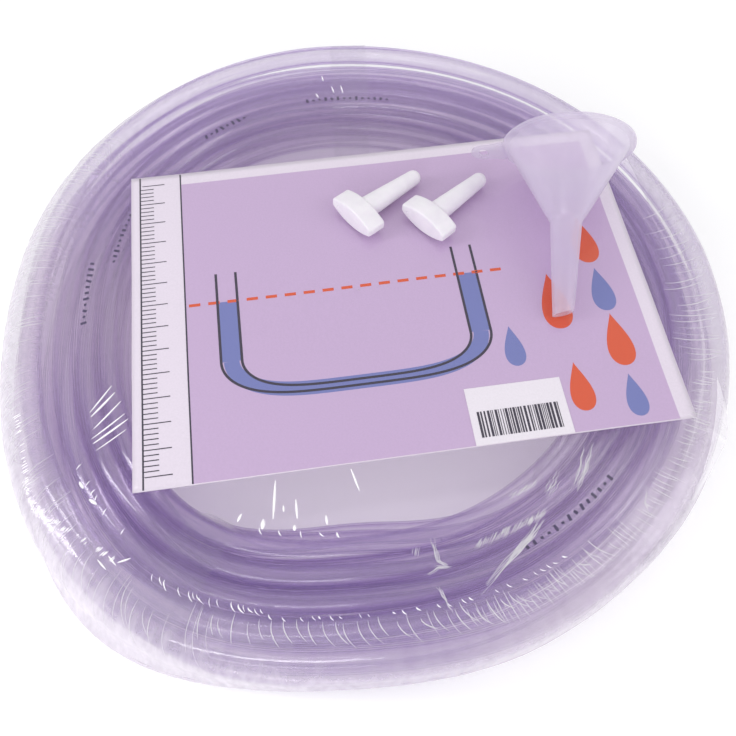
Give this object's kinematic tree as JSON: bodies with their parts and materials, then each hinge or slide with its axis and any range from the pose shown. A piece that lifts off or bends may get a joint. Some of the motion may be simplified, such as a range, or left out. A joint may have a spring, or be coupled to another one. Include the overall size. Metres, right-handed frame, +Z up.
{
  "type": "water level hose",
  "caption": "Clear hose water level, coiled and shrink-wrapped with a label card, with a filling funnel and T-handled end stoppers on top.",
  "frame": {"origin": "centre of the flat underside of the shrink-wrapped coil", "axes": "+Z up out of the top of the coil, +X to the right and +Y to the back as the card is read"},
  "size_m": [0.433, 0.433, 0.1261],
  "materials": {
    "clear_hose": "clear soft PVC with a faint violet tint",
    "clear_tape": "clear glossy tape",
    "label_print": "coated lilac print on card",
    "white_paper": "matt white sticker with dark bars",
    "shrink_film": "thin clear crinkled film, glossy",
    "milky_plastic": "milky translucent moulded plastic",
    "white_plastic": "white moulded plastic, satin gloss"
  },
  "bodies": {
    "pack": {"hose_coil": "clear_hose", "hose_end_lower": "clear_hose", "hose_end_upper": "clear_hose", "tape_tie_back": "clear_tape", "tape_tie_left": "clear_tape", "tape_tie_right": "clear_tape", "label_card": "label_print", "code_sticker": "white_paper", "film_upper": "shrink_film", "film_lower": "shrink_film"},
    "funnel": {"funnel": "milky_plastic"},
    "left_stopper": {"stopper_left": "white_plastic"},
    "right_stopper": {"stopper_right": "white_plastic"}
  },
  "joints": [
    {"name": "funnel_lift", "type": "slide", "parent": "pack", "child": "funnel", "axis": [0, 0, 1], "range_m": [0, 0.12]},
    {"name": "left_stopper_lift", "type": "slide", "parent": "pack", "child": "left_stopper", "axis": [0, 0, 1], "range_m": [0, 0.06]},
    {"name": "right_stopper_lift", "type": "slide", "parent": "pack", "child": "right_stopper", "axis": [0, -0.6, 0.8], "range_m": [0, 0.06]}
  ]
}
